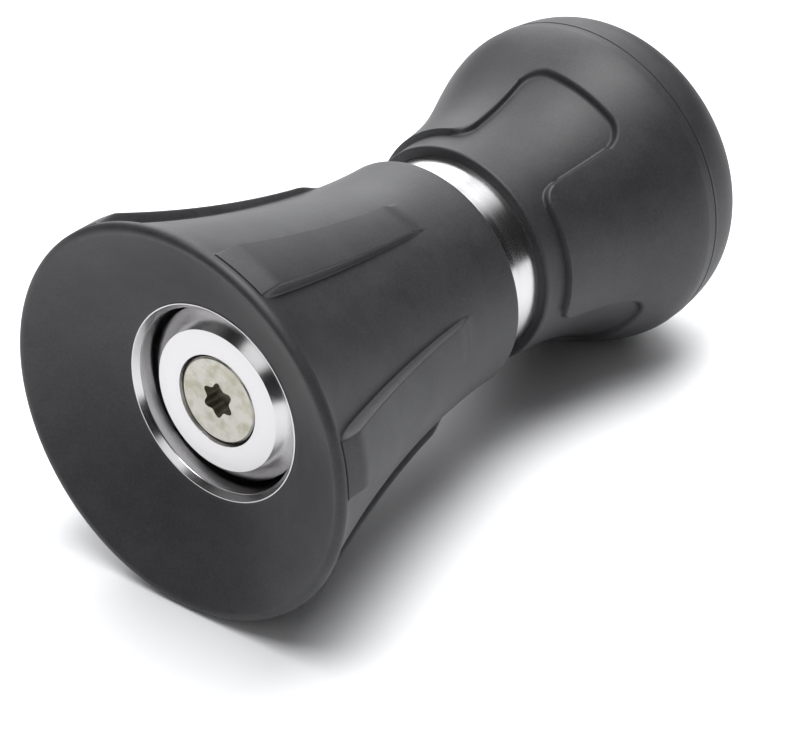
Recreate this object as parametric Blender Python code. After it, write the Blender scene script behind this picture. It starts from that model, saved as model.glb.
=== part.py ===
"""Fire hose nozzle of the twist pattern: a ribbed barrel that screws along a body with a rubber grip.

The axis lies along Y, the mouth faces -Y and the hose joins at +Y. The origin is on the axis, halfway along.
Stations are distances back from the front rim. A profile is a list of (radius, station) points in
millimetres, and MM turns them into metres.
"""
import math

import bmesh
import bpy

MM = 0.001

# Driving dimensions
LENGTH = 120.0
RIM_RADIUS = 35.0
GRIP_FRONT = 71.8
BARREL_TRAVEL = 8.0
OPEN_CLEARANCE = 1.0
SLEEVE_BACK = GRIP_FRONT - BARREL_TRAVEL - OPEN_CLEARANCE
SLEEVE_WAIST_RADIUS = 21.1
BELL_POWER = 1.8
RIM_EDGE = 0.9
FUNNEL_DEPTH = 9.2
MOUTH_RADIUS = 17.7
RIB_COUNT = 6
RIB_FRONT_HEIGHT = 1.9
RIB_BACK_HEIGHT = 0.8
RIB_CAP_RADIUS = 34.9
RIB_CENTRE = 7.8
RIB_HALF_TOP = 8.25
RIB_HALF_BASE = 9.25
RIB_BACK = (45.0, 47.5)
NECK_RADIUS = 18.2
BARREL_RADIUS = 19.8
BARREL_BACK = 61.8
FLANGE = (16.0, 18.6)
FLANGE_RADIUS = 22.0
WIPER_GROOVE = (59.0, 60.8)
WIPER_GROOVE_RADIUS = 19.25
SEAM = 107.6
ARCH_COUNT = 3
ARCH_CENTRE = 71.5
ARCH_HALF_ANGLE = 24.5
ARCH_BACK = 96.0
BAND_BACK = 76.6
RECESS_DEPTH = 1.2
RECESS_STEP = 1.0
RECESS_CORNER = 4.0
THREAD_STARTS = 3
THREAD_PITCH = 4.0
THREAD_DEPTH = 1.1
BODY_THREAD = (44.0, 58.4)
BODY_THREAD_ROOT = 15.9
BARREL_THREAD = (42.6, 50.2)
BARREL_THREAD_ROOT = 17.5
HOSE_THREAD = (111.2, 119.0)
HOSE_THREAD_ROOT = 13.5
HOSE_THREAD_DEPTH = 1.2
HOSE_THREAD_PITCH = 25.4 / 11.5
BORE_RADIUS = 12.5
WATERWAY_RADIUS = 11.5
NOSE_FRONT = 31.4
NOSE_RADIUS = 15.2
NOSE_GROOVE = (33.1, 35.1)
NOSE_GROOVE_RADIUS = 13.7
CUP_FRONT = 100.0
CUP_RADIUS = 17.4
GRIP_SEAT_RADIUS = 21.0
GRIP_SEAT_BACK = 106.0
TAIL_RADIUS = 11.6
TAIL_BACK = 107.7
TAIL_BORE_RADIUS = 8.5
DISC_FACE = 10.2
DISC_RADIUS = 15.3
SCREW_HEAD_RADIUS = 7.75
SCREW_RADIUS = 4.0
SOCKET_RADIUS = 2.8
SOCKET_WAVE = 0.42
SOCKET_DEPTH = 2.6
SOCKET_LOBES = 6
STEM_RADIUS = 6.0
GAP = 0.3

FINE_STEPS = 36
PLAIN_STEPS = 32
RING_STEPS = 24


# Making solids

def even_angles(steps, first=0.0, sweep=360.0, closed=True):
    """Angles in radians, evenly spread; an open sweep includes its last angle."""
    gaps = steps if closed else steps - 1
    return [math.radians(first + sweep * k / gaps) for k in range(steps)]


def turned(profile, angles, closed=True, shape=None):
    """A solid turned about the Y axis from a profile of (radius, station) points.

    A profile that starts and ends on the axis is a solid piece; any other is a closed section of a ring.
    shape(angle, radius, station) may move each point. An open sweep gets flat end faces.
    """
    bm = bmesh.new()
    solid = profile[0][0] == 0.0 and profile[-1][0] == 0.0
    poles = {}
    rings = []
    for angle in angles:
        ring = []
        for index, (radius, station) in enumerate(profile):
            if radius == 0.0:
                if index not in poles:
                    poles[index] = bm.verts.new((0.0, station * MM, 0.0))
                ring.append(poles[index])
                continue
            if shape:
                radius, station = shape(angle, radius, station)
            x = radius * math.cos(angle)
            z = radius * math.sin(angle)
            ring.append(bm.verts.new((x * MM, station * MM, z * MM)))
        rings.append(ring)
    spans = len(profile) - 1 if solid else len(profile)
    turns = len(rings) if closed else len(rings) - 1
    for k in range(turns):
        here = rings[k]
        there = rings[(k + 1) % len(rings)]
        for j in range(spans):
            n = (j + 1) % len(profile)
            corners = [here[j], here[n], there[n], there[j]]
            bm.faces.new(dict.fromkeys(corners))
    if not closed:
        bm.faces.new(rings[0])
        bm.faces.new(rings[-1])
    bmesh.ops.recalc_face_normals(bm, faces=bm.faces)
    return bm


def prism(outline, front, back):
    """A solid with the given (x, z) outline between two stations."""
    bm = bmesh.new()
    loops = []
    for station in (front, back):
        loops.append([bm.verts.new((x * MM, station * MM, z * MM)) for x, z in outline])
    bm.faces.new(loops[0])
    bm.faces.new(loops[1])
    count = len(outline)
    for k in range(count):
        n = (k + 1) % count
        bm.faces.new((loops[0][k], loops[0][n], loops[1][n], loops[1][k]))
    bmesh.ops.recalc_face_normals(bm, faces=bm.faces)
    return bm


def add_object(name, bm, parent, finish, sharp=35.0):
    """Put a finished mesh in the scene under its parent, with its material and smooth shading."""
    mesh = bpy.data.meshes.new(name)
    bm.to_mesh(mesh)
    bm.free()
    mesh.shade_smooth()
    mesh.set_sharp_from_angle(angle=math.radians(sharp))
    mesh.materials.append(finish)
    item = bpy.data.objects.new(name, mesh)
    bpy.context.scene.collection.objects.link(item)
    item.parent = parent
    return item


def cut(item, name, bm):
    """Subtract a hidden cutter from an object."""
    mesh = bpy.data.meshes.new(name)
    bm.to_mesh(mesh)
    bm.free()
    cutter = bpy.data.objects.new(name, mesh)
    bpy.context.scene.collection.objects.link(cutter)
    cutter.parent = item.parent
    cutter.hide_render = True
    cutter.display_type = "WIRE"
    modifier = item.modifiers.new(name, "BOOLEAN")
    modifier.operation = "DIFFERENCE"
    modifier.solver = "EXACT"
    modifier.object = cutter


def pivot(name, station):
    """An empty on the axis that carries the pieces of one rigid body; stations count from the rim."""
    empty = bpy.data.objects.new(name, None)
    bpy.context.scene.collection.objects.link(empty)
    empty.location = (0.0, (station - LENGTH / 2) * MM, 0.0)
    return empty


def material(name, colour, roughness, metallic=0.0):
    finish = bpy.data.materials.new(name)
    finish.use_nodes = True
    shader = finish.node_tree.nodes["Principled BSDF"]
    shader.inputs["Base Color"].default_value = (*colour, 1.0)
    shader.inputs["Roughness"].default_value = roughness
    shader.inputs["Metallic"].default_value = metallic
    return finish


# Shapes that follow a rule

def mix(a, b, t):
    return a + (b - a) * t


def clamp(t):
    return min(max(t, 0.0), 1.0)


def smooth(t):
    t = clamp(t)
    return t * t * (3.0 - 2.0 * t)


def nearest(degrees, centre, count):
    """Signed angle from the nearest of count evenly spaced centres."""
    pitch = 360.0 / count
    return (degrees - centre + pitch / 2) % pitch - pitch / 2


def bell_radius(station):
    """The sleeve's outside between its ribs."""
    t = max(1.0 - station / SLEEVE_BACK, 0.0)
    return SLEEVE_WAIST_RADIUS + (RIM_RADIUS - SLEEVE_WAIST_RADIUS) * t ** BELL_POWER


def rib_rise(angle, radius, station):
    """Lift the sleeve's outside where a rib stands on it.

    A rib thins towards the rear and never rises past the rim's radius.
    """
    if radius != bell_radius(station):
        return radius, station
    offset = abs(nearest(math.degrees(angle), RIB_CENTRE, RIB_COUNT))
    across = (RIB_HALF_BASE - offset) / (RIB_HALF_BASE - RIB_HALF_TOP)
    back = (RIB_BACK[1] - station) / (RIB_BACK[1] - RIB_BACK[0])
    height = mix(RIB_FRONT_HEIGHT, RIB_BACK_HEIGHT, station / RIB_BACK[0]) * clamp(back)
    top = min(radius + height, max(RIB_CAP_RADIUS, radius))
    return mix(radius, top, clamp(across)), station


def rib_angles():
    """Angles that place an edge on each side of every rib, with even steps between."""
    pitch = 360.0 / RIB_COUNT
    offsets = [-RIB_HALF_BASE, -RIB_HALF_TOP, 0.0, RIB_HALF_TOP]
    between = 4
    gap = pitch - 2 * RIB_HALF_BASE
    offsets += [RIB_HALF_BASE + gap * k / between for k in range(between)]
    centres = [RIB_CENTRE + pitch * rib for rib in range(RIB_COUNT)]
    return [math.radians(centre + offset) for centre in centres for offset in offsets]


def bulb_radius(station):
    """The grip's raised outside: a waist that swells in a smooth wave to its widest, then rounds off."""
    waist = 21.1
    widest = 29.65
    swell_start = 72.0
    swell_end = 105.5
    if station <= swell_end:
        t = max(station - swell_start, 0.0) / (swell_end - swell_start)
        return mix(waist, widest, 0.29 * t + 0.71 * smooth(t ** 1.7))
    t = (station - swell_end) / (LENGTH - swell_end)
    return widest - 0.9 * t - 6.4 * t ** 4


def recess_share(angle, station):
    """1 on the floor of the waist band and of the three arches, 0 on the raised lobes."""
    offset = math.radians(nearest(math.degrees(angle), ARCH_CENTRE, ARCH_COUNT))
    middle = bulb_radius(mix(BAND_BACK, ARCH_BACK, 0.5))
    across = abs(offset) * middle - math.radians(ARCH_HALF_ANGLE) * middle + RECESS_CORNER
    along = station - ARCH_BACK + RECESS_CORNER
    outside = math.hypot(max(across, 0.0), max(along, 0.0)) + min(max(across, along), 0.0)
    arch = outside - RECESS_CORNER
    band = station - BAND_BACK
    blend = clamp(0.5 + 0.5 * (band - arch) / RECESS_CORNER)
    edge = mix(band, arch, blend) - RECESS_CORNER * blend * (1.0 - blend)
    return smooth(0.5 - edge / RECESS_STEP)


def grip_recess(angle, radius, station):
    """Sink the grip's outside where it is recessed."""
    if radius != bulb_radius(station):
        return radius, station
    return radius - RECESS_DEPTH * recess_share(angle, station), station


def grip_angles():
    """Angles that place an edge on each side of every arch."""
    pitch = 360.0 / ARCH_COUNT
    inner = ARCH_HALF_ANGLE - 1.2
    outer = ARCH_HALF_ANGLE + 1.6
    inside = 5
    between = 8
    offsets = [mix(-inner, inner, k / inside) for k in range(inside + 1)]
    offsets += [mix(outer, pitch - outer, k / between) for k in range(between + 1)]
    centres = [ARCH_CENTRE + pitch * arch for arch in range(ARCH_COUNT)]
    return [math.radians(centre + offset) for centre in centres for offset in offsets]


def threaded(low, high, root, depth, pitch, starts):
    """A shape rule that raises a right-hand thread on the root radius; a negative depth points inwards."""
    run_out = pitch / 4

    def shape(angle, radius, station):
        if radius != root or not low <= station <= high:
            return radius, station
        fade = min((station - low) / run_out, (high - station) / run_out, 1.0)
        phase = 2 * math.pi * station / pitch + starts * angle
        wave = 0.5 + math.copysign(0.5, depth) * math.cos(phase)
        return root + depth * fade * wave, station

    return shape


def thread_rows(low, high, root, pitch, rows_per_pitch):
    """Evenly spaced profile points along a threaded stretch."""
    count = round((high - low) / pitch * rows_per_pitch)
    return [(root, mix(low, high, k / count)) for k in range(count + 1)]


def round_section(radius, station, section, steps=6):
    """The section of an O-ring."""
    return [(radius + section * math.cos(a), station + section * math.sin(a)) for a in even_angles(steps)]


def flat_section(inner, outer, front, back):
    """The section of a washer or a flat ring."""
    return [(inner, front), (outer, front), (outer, back), (inner, back)]


# The barrel, which twists and travels

def barrel_sleeve(parent, finish):
    """Rubber bell with six ribs, slipped over the barrel."""
    inner = 18.0
    funnel_steps = 5
    funnel = []
    for k in range(funnel_steps):
        t = k / funnel_steps
        radius = mix(inner, RIM_RADIUS - RIM_EDGE, t)
        funnel.append((radius, FUNNEL_DEPTH * (1.0 - t ** 1.15)))
    rim = [(RIM_RADIUS - RIM_EDGE, 0.15), (RIM_RADIUS - 0.35, 0.0), (RIM_RADIUS, 0.45)]
    stations = [1.2, 5.4, 10.0, 17.0, 25.0, 34.0, RIB_BACK[0], RIB_BACK[1], 61.4]
    outside = [(bell_radius(s), s) for s in stations]
    opening = NECK_RADIUS + GAP + 0.1
    barrel_fit = BARREL_RADIUS + GAP
    ledge = BARREL_BACK + GAP
    back = [(20.4, SLEEVE_BACK), (opening, SLEEVE_BACK), (opening, ledge), (barrel_fit, ledge)]
    pocket = [(barrel_fit, FLANGE[1] + GAP), (FLANGE_RADIUS + GAP, FLANGE[1] + GAP)]
    pocket += [(FLANGE_RADIUS + GAP, FLANGE[0] - GAP), (barrel_fit, FLANGE[0] - GAP)]
    pocket += [(barrel_fit, 12.4), (inner, 10.6)]
    profile = funnel + rim + outside + back + pocket
    bm = turned(profile, rib_angles(), shape=rib_rise)
    return add_object("barrel_sleeve", bm, parent, finish)


def barrel(parent, finish):
    """Turned barrel: mouth lip, bore round the disc, conical seat, throat, seal bore, thread, rear bore."""
    seat_front = 15.0
    mouth_bore = 16.4
    seal_bore_radius = NOSE_RADIUS + GAP
    lip = [(MOUTH_RADIUS, 9.0), (17.3, 9.0), (16.7, 9.5), (mouth_bore, 10.3)]
    seat = [(mouth_bore, seat_front), (BORE_RADIUS, seat_front + mouth_bore - BORE_RADIUS)]
    seat += [(BORE_RADIUS, 22.4)]
    seal_bore = [(seal_bore_radius, 23.0), (seal_bore_radius, 35.6)]
    seal_bore += [(BARREL_THREAD_ROOT, 36.4), (BARREL_THREAD_ROOT, BARREL_THREAD[0] - 0.4)]
    thread = thread_rows(*BARREL_THREAD, BARREL_THREAD_ROOT, THREAD_PITCH, 5)
    bore = NECK_RADIUS + GAP
    rear_bore = [(bore, 50.6), (bore, WIPER_GROOVE[0]), (WIPER_GROOVE_RADIUS, WIPER_GROOVE[0])]
    rear_bore += [(WIPER_GROOVE_RADIUS, WIPER_GROOVE[1]), (bore, WIPER_GROOVE[1]), (bore, BARREL_BACK)]
    outside = [(BARREL_RADIUS, BARREL_BACK), (BARREL_RADIUS, FLANGE[1]), (FLANGE_RADIUS, FLANGE[1])]
    outside += [(FLANGE_RADIUS, FLANGE[0]), (BARREL_RADIUS, FLANGE[0])]
    outside += [(BARREL_RADIUS, 12.5), (MOUTH_RADIUS, 10.6)]
    profile = lip + seat + seal_bore + thread + rear_bore + outside
    rule = threaded(*BARREL_THREAD, BARREL_THREAD_ROOT, -THREAD_DEPTH, THREAD_PITCH, THREAD_STARTS)
    bm = turned(profile, even_angles(FINE_STEPS), shape=rule)
    return add_object("barrel", bm, parent, finish)


def neck_wiper_ring(parent, finish):
    """Ring in the barrel's rear groove that wipes the neck; it travels with the barrel but doesn't turn."""
    ease = 0.2
    section = flat_section(
        NECK_RADIUS + ease, WIPER_GROOVE_RADIUS - ease, WIPER_GROOVE[0] + ease, WIPER_GROOVE[1] - ease
    )
    return add_object("neck_wiper_ring", turned(section, even_angles(RING_STEPS)), parent, finish)


# The body, which the others move on

def nozzle_body(parent, finish):
    """Waterway with a nose, an outside thread, a bright neck, a cup for the swivel nut and a tail."""
    nose_bevel = 0.6
    clip_groove = (104.6, 105.9)
    clip_groove_radius = 10.9
    screen_seat_radius = 9.7
    spider_groove = (53.2, 54.4)
    spider_groove_radius = 13.4
    nose = [(BORE_RADIUS, NOSE_FRONT), (NOSE_RADIUS - nose_bevel, NOSE_FRONT)]
    nose += [(NOSE_RADIUS, NOSE_FRONT + nose_bevel), (NOSE_RADIUS, NOSE_GROOVE[0])]
    nose += [(NOSE_GROOVE_RADIUS, NOSE_GROOVE[0]), (NOSE_GROOVE_RADIUS, NOSE_GROOVE[1])]
    nose += [(NOSE_RADIUS, NOSE_GROOVE[1]), (NOSE_RADIUS, BODY_THREAD[0] - 0.4)]
    thread = thread_rows(*BODY_THREAD, BODY_THREAD_ROOT, THREAD_PITCH, 5)
    grip_seat = [(NECK_RADIUS, BODY_THREAD[1] + 0.4), (NECK_RADIUS, 86.0)]
    grip_seat += [(GRIP_SEAT_RADIUS, 92.0), (GRIP_SEAT_RADIUS, GRIP_SEAT_BACK)]
    cup = [(CUP_RADIUS, GRIP_SEAT_BACK), (CUP_RADIUS, CUP_FRONT), (TAIL_RADIUS, CUP_FRONT)]
    tail = [(TAIL_RADIUS, clip_groove[0]), (clip_groove_radius, clip_groove[0])]
    tail += [(clip_groove_radius, clip_groove[1]), (TAIL_RADIUS, clip_groove[1]), (TAIL_RADIUS, TAIL_BACK)]
    screen_seat = [(screen_seat_radius, TAIL_BACK), (screen_seat_radius, clip_groove[1])]
    screen_seat += [(TAIL_BORE_RADIUS, clip_groove[1])]
    bore = [(TAIL_BORE_RADIUS, 93.0), (WATERWAY_RADIUS, 89.0), (WATERWAY_RADIUS, 60.0), (BORE_RADIUS, 60.0)]
    ring_groove = [(BORE_RADIUS, spider_groove[1]), (spider_groove_radius, spider_groove[1])]
    ring_groove += [(spider_groove_radius, spider_groove[0]), (BORE_RADIUS, spider_groove[0])]
    profile = nose + thread + grip_seat + cup + tail + screen_seat + bore + ring_groove
    rule = threaded(*BODY_THREAD, BODY_THREAD_ROOT, THREAD_DEPTH, THREAD_PITCH, THREAD_STARTS)
    bm = turned(profile, even_angles(FINE_STEPS), shape=rule)
    return add_object("nozzle_body", bm, parent, finish)


def rear_grip(parent, finish):
    """Rubber bulb over the body, with a waist band and three arched finger recesses."""
    floor = bulb_radius(GRIP_FRONT) - RECESS_DEPTH
    bevel = 0.5
    lip = [(NECK_RADIUS + GAP, GRIP_FRONT), (floor - bevel, GRIP_FRONT), (floor, GRIP_FRONT + bevel)]
    half = RECESS_STEP / 2
    stations = [73.0, BAND_BACK - half, BAND_BACK + half, 81.0, 87.0, 92.0, ARCH_BACK - half]
    stations += [ARCH_BACK + half, 100.0, 103.5, SEAM]
    outside = [(bulb_radius(s), s) for s in stations]
    inside = [(GRIP_SEAT_RADIUS + GAP, SEAM), (GRIP_SEAT_RADIUS + GAP, 91.9), (NECK_RADIUS + GAP, 86.1)]
    bm = turned(lip + outside + inside, grip_angles(), shape=grip_recess)
    return add_object("rear_grip", bm, parent, finish)


def nose_seal_ring(parent, finish):
    section = 0.72
    middle = (NOSE_GROOVE[0] + NOSE_GROOVE[1]) / 2
    ring = round_section(NOSE_RADIUS + 0.12 - section, middle, section)
    return add_object("nose_seal_ring", turned(ring, even_angles(RING_STEPS)), parent, finish)


def stem_spider(parent, finish):
    """Three-legged ring in the waterway that carries the stem."""
    front = 55.0
    back = 59.7
    hub = 7.6
    rim = 10.3
    leg_half_angle = 12.0
    bm = turned(flat_section(SCREW_RADIUS + 0.2, 12.2, front, back), even_angles(PLAIN_STEPS))
    item = add_object("stem_spider", bm, parent, finish)
    for leg in range(3):
        first = 120.0 * leg + leg_half_angle
        sweep = 120.0 - 2 * leg_half_angle
        arc = even_angles(9, first, sweep, closed=False)
        outline = [(rim * math.cos(a), rim * math.sin(a)) for a in arc]
        outline += [(hub * math.cos(a), hub * math.sin(a)) for a in reversed(arc)]
        cut(item, f"spider_window_{leg + 1}", prism(outline, front - 1.0, back + 1.0))
    return item


def split_ring(name, inner, outer, front, back, opening, parent, finish):
    """A retaining ring with a gap, so that it can be sprung into its groove."""
    angles = even_angles(RING_STEPS, opening / 2, 360.0 - opening, closed=False)
    bm = turned(flat_section(inner, outer, front, back), angles, closed=False)
    return add_object(name, bm, parent, finish)


def washer(name, inner, outer, front, back, parent, finish):
    bm = turned(flat_section(inner, outer, front, back), even_angles(RING_STEPS))
    return add_object(name, bm, parent, finish)


def baffle_stem(parent, finish):
    """Rod with a blind hole for the screw in front, a shoulder on the spider and a threaded tail."""
    hole = SCREW_RADIUS + GAP
    profile = [(0.0, 37.0), (hole, 35.4), (hole, 20.0), (STEM_RADIUS, 20.0), (STEM_RADIUS, 54.7)]
    profile += [(SCREW_RADIUS, 54.7), (SCREW_RADIUS, 67.6), (3.4, 68.2), (0.0, 68.2)]
    bm = turned(profile, even_angles(RING_STEPS))
    return add_object("baffle_stem", bm, parent, finish)


def stem_nut(parent, finish):
    """Hexagon nut behind the spider."""
    front = 61.5
    back = 67.2
    half_flats = 6.5
    hole = SCREW_RADIUS + GAP

    def hexagon(angle, radius, station):
        if radius < half_flats:
            return radius, station
        turn = nearest(math.degrees(angle), 0.0, 6)
        return radius / math.cos(math.radians(turn)), station

    bm = turned(flat_section(hole, half_flats, front, back), even_angles(24), shape=hexagon)
    return add_object("stem_nut", bm, parent, finish)


def baffle_disc(parent, finish):
    """Turned disc that spreads the jet: flat face, conical edge, boss and groove for its seal."""
    face = DISC_FACE
    recess = SCREW_HEAD_RADIUS + 0.4
    recess_depth = 0.45
    hole = SCREW_RADIUS + 0.4
    front = [(recess, face + recess_depth), (recess, face), (DISC_RADIUS - 2.7, face)]
    front += [(DISC_RADIUS, face + 2.7), (DISC_RADIUS, 14.4)]
    groove = [(12.0, 14.4), (12.0, 17.3), (12.8, 17.3), (12.8, 17.9)]
    boss = [(6.8, 19.7), (hole, 19.7), (hole, face + recess_depth + recess - hole)]
    bm = turned(front + groove + boss, even_angles(FINE_STEPS))
    return add_object("baffle_disc", bm, parent, finish)


def baffle_seal_ring(parent, finish):
    bm = turned(round_section(13.4, 15.86, 1.15), even_angles(RING_STEPS))
    return add_object("baffle_seal_ring", bm, parent, finish)


def baffle_screw(parent, finish):
    """Countersunk screw with a six-lobe socket, its head just below the disc's face."""
    face = DISC_FACE + 0.25
    edge = 0.25
    neck = face + edge + SCREW_HEAD_RADIUS - SCREW_RADIUS

    def socket(angle, radius, station):
        if radius == SOCKET_RADIUS:
            radius -= SOCKET_WAVE * math.cos(SOCKET_LOBES * angle)
        return radius, station

    profile = [(0.0, face + SOCKET_DEPTH), (SOCKET_RADIUS, face + SOCKET_DEPTH), (SOCKET_RADIUS, face)]
    profile += [(SCREW_HEAD_RADIUS - edge, face), (SCREW_HEAD_RADIUS, face + edge), (SCREW_RADIUS, neck)]
    profile += [(SCREW_RADIUS, 33.4), (3.4, 34.0), (0.0, 34.0)]
    bm = turned(profile, even_angles(FINE_STEPS), shape=socket)
    return add_object("baffle_screw", bm, parent, finish)


def inlet_screen(parent, finish):
    """Perforated disc that keeps grit out of the waterway."""
    front = 106.2
    back = 107.4
    item_profile = [(0.0, front), (9.4, front), (9.4, back), (0.0, back)]
    item = add_object("inlet_screen", turned(item_profile, even_angles(RING_STEPS)), parent, finish)
    hole_radius = 1.0
    rings = ((0.0, 1), (3.2, 6), (6.4, 12))
    cutter = bmesh.new()
    for ring_radius, count in rings:
        for middle in even_angles(count):
            outline = [
                (
                    ring_radius * math.cos(middle) + hole_radius * math.cos(a),
                    ring_radius * math.sin(middle) + hole_radius * math.sin(a),
                )
                for a in even_angles(6)
            ]
            hole = prism(outline, front - 1.0, back + 1.0)
            mesh = bpy.data.meshes.new("screen_hole")
            hole.to_mesh(mesh)
            hole.free()
            cutter.from_mesh(mesh)
            bpy.data.meshes.remove(mesh)
    cut(item, "screen_holes", cutter)
    return item


# The hose coupling, which swivels

def swivel_nut(parent, finish):
    """Nut with the female hose thread; its inner flange runs on the body's tail."""
    front = CUP_FRONT + GAP
    nut_radius = 17.0
    flange_bore = TAIL_RADIUS + GAP
    flange_back = 103.0
    washer_bore = 14.0
    flange = [(nut_radius, front), (flange_bore, front), (flange_bore, flange_back)]
    flange += [(washer_bore, flange_back), (washer_bore, HOSE_THREAD[0] - 0.4)]
    thread = thread_rows(*HOSE_THREAD, HOSE_THREAD_ROOT, HOSE_THREAD_PITCH, 4)
    back = [(washer_bore, LENGTH), (nut_radius - GAP, LENGTH), (nut_radius, LENGTH - GAP)]
    rule = threaded(*HOSE_THREAD, HOSE_THREAD_ROOT, -HOSE_THREAD_DEPTH, HOSE_THREAD_PITCH, 1)
    bm = turned(flange + thread + back, even_angles(PLAIN_STEPS), shape=rule)
    return add_object("swivel_nut", bm, parent, finish)


def coupling_collar(parent, finish):
    """Rubber ring on the swivel nut that closes the bulb and is turned by hand."""
    inner = 17.3
    front = SEAM + GAP
    outside_steps = 6
    outside = []
    for k in range(outside_steps + 1):
        station = mix(front, LENGTH, math.sin(math.pi / 2 * k / outside_steps))
        outside.append((bulb_radius(station), station))
    bm = turned([(inner, front)] + outside + [(inner, LENGTH)], even_angles(42))
    return add_object("coupling_collar", bm, parent, finish)


def build():
    for item in list(bpy.data.objects):
        bpy.data.objects.remove(item, do_unlink=True)

    rubber = material("charcoal_rubber", (0.055, 0.057, 0.062), 0.62)
    seal = material("black_seal_rubber", (0.02, 0.02, 0.022), 0.5)
    turned_aluminium = material("turned_aluminium", (0.80, 0.81, 0.83), 0.24, 1.0)
    cast_aluminium = material("body_aluminium", (0.74, 0.75, 0.77), 0.32, 1.0)
    stainless = material("stainless_steel", (0.56, 0.54, 0.49), 0.34, 1.0)
    acetal = material("white_acetal", (0.85, 0.85, 0.82), 0.4)

    body = pivot("body_pivot", 0.0)
    wiper = pivot("wiper_pivot", 0.0)
    front = pivot("barrel_pivot", 0.0)
    front.parent = wiper
    front.location = (0.0, 0.0, 0.0)
    coupling = pivot("coupling_pivot", 0.0)

    barrel_sleeve(front, rubber)
    barrel(front, turned_aluminium)
    neck_wiper_ring(wiper, seal)

    nozzle_body(body, cast_aluminium)
    rear_grip(body, rubber)
    nose_seal_ring(body, seal)
    baffle_stem(body, stainless)
    stem_spider(body, acetal)
    split_ring("spider_retaining_ring", 11.2, 13.2, 53.5, 54.2, 24.0, body, stainless)
    washer("stem_washer", SCREW_RADIUS + GAP, 8.0, 60.0, 61.2, body, stainless)
    stem_nut(body, stainless)
    baffle_disc(body, turned_aluminium)
    baffle_seal_ring(body, seal)
    baffle_screw(body, stainless)
    washer("swivel_thrust_washer", 11.85, 13.4, 103.3, 104.4, body, acetal)
    split_ring("swivel_retaining_ring", 11.1, 13.1, 104.85, 105.65, 20.0, body, stainless)
    inlet_screen(body, stainless)

    swivel_nut(coupling, turned_aluminium)
    coupling_collar(coupling, rubber)
    washer("hose_washer", TAIL_BORE_RADIUS, 12.9, 108.0, 110.5, coupling, seal)


build()
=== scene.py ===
"""Looks of the twist fire hose nozzle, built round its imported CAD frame.

Every visible piece is turned, or moulded, about the nozzle's axis, which is the Y axis. Outlines are
(radius, station) points in millimetres, with stations counted back from the front rim.
"""
import math

import bmesh
import bpy
import numpy as np
from mathutils import Matrix, Vector


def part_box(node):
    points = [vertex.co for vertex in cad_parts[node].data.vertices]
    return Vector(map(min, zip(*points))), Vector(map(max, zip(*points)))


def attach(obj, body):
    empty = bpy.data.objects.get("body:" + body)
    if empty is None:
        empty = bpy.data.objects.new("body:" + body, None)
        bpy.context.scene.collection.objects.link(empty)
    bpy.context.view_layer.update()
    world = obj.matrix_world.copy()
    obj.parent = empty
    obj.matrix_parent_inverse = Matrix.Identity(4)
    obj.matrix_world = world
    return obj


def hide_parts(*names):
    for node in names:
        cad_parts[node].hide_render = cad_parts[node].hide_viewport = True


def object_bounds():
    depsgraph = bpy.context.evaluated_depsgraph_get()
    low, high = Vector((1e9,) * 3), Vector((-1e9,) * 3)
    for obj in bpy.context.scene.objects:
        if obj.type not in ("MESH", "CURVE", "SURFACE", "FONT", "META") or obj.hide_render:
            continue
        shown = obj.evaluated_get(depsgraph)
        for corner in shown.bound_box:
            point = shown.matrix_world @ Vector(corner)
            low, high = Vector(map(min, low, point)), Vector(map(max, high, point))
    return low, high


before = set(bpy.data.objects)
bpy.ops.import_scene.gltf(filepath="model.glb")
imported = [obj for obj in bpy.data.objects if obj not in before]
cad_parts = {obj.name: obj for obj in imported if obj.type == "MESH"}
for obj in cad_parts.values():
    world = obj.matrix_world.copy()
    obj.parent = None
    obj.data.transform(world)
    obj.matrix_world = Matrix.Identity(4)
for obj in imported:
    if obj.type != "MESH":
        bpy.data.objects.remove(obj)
cad_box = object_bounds()

MM = 0.001
RIM_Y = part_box("barrel_sleeve")[0].y


# Places that the frame gives

def front(node):
    """Station of a CAD node's front end."""
    return (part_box(node)[0].y - RIM_Y) / MM


def back(node):
    """Station of a CAD node's rear end."""
    return (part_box(node)[1].y - RIM_Y) / MM


def outer(node):
    """Largest radius of a CAD node."""
    low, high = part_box(node)
    return max(high.x, -low.x, high.z, -low.z) / MM


LENGTH = back("swivel_nut")
RIM_RADIUS = outer("barrel_sleeve")
SLEEVE_BACK = back("barrel_sleeve")
MOUTH = front("barrel")
DISC_FACE = front("baffle_disc")
DISC_RADIUS = outer("baffle_disc")
SCREW_FACE = front("baffle_screw")
HEAD_RADIUS = outer("baffle_screw")
GRIP_FRONT = front("rear_grip")
SEAM = back("rear_grip")
BULB_RADIUS = outer("rear_grip")

# Details of the moulded and turned surfaces
MOUTH_RADIUS = 17.7
MOUTH_BORE = 16.4
SLEEVE_WAIST = 21.1
BELL_POWER = 1.8
RIM_ROUND = 1.2
RIM_END = 1.82
RIB_COUNT = 6
RIB_FRONT_HEIGHT = 2.5
RIB_BACK_HEIGHT = 1.15
RIB_CAP_RADIUS = 34.9
RIB_CENTRE = 7.8
RIB_HALF_TOP = 8.25
RIB_HALF_BASE = 9.25
RIB_BACK = (45.6, 48.5)
NECK_RADIUS = 18.2
NECK_EASE = 0.3
BARREL_RADIUS = 19.8
BARREL_BACK = 61.8
FLANGE = (16.0, 18.6)
FLANGE_RADIUS = 22.0
FIT = 0.2
WIPER_RADIUS = outer("neck_wiper_ring")
ARCH_COUNT = 3
ARCH_CENTRE = 71.5
ARCH_HALF_ANGLE = 24.5
ARCH_BACK = 96.0
BAND_BACK = 76.6
RECESS_DEPTH = 1.1
RECESS_STEP = 0.5
RECESS_CORNER = 4.0
SEAM_GAP = 0.08
BORE_RADIUS = 12.5
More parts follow.
